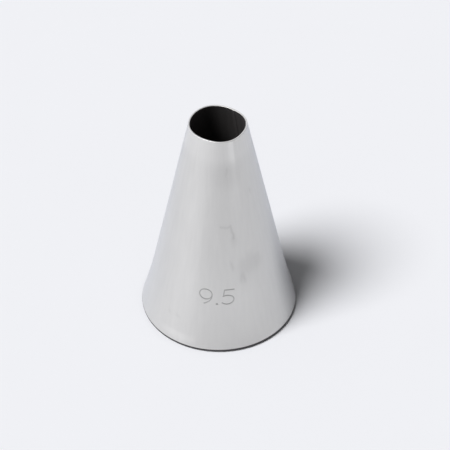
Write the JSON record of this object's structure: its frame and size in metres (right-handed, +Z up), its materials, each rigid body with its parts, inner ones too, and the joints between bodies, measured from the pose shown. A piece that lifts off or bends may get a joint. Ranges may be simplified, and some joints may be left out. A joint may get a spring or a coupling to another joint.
{
  "type": "piping nozzle",
  "caption": "Plain round piping nozzle: a rolled cone of thin stainless sheet with a cut mouth, a wide end that flares a little and is curled under, and a welded seam.",
  "frame": {"origin": "on the surface that the nozzle stands on, at the centre of its wide end", "axes": "+Z up along the cone's axis, out of the outlet; -Y is the front, where the size mark is; the welded seam is at the back right"},
  "size_m": [0.0286, 0.0286, 0.0414],
  "materials": {
    "satin_steel": "satin stainless steel, brushed round the cone, with faint smudges",
    "weld_steel": "ground stainless weld, a little duller than the sheet"
  },
  "bodies": {
    "root": {"cone_shell": "satin_steel", "seam_weld": "weld_steel"}
  },
  "joints": []
}
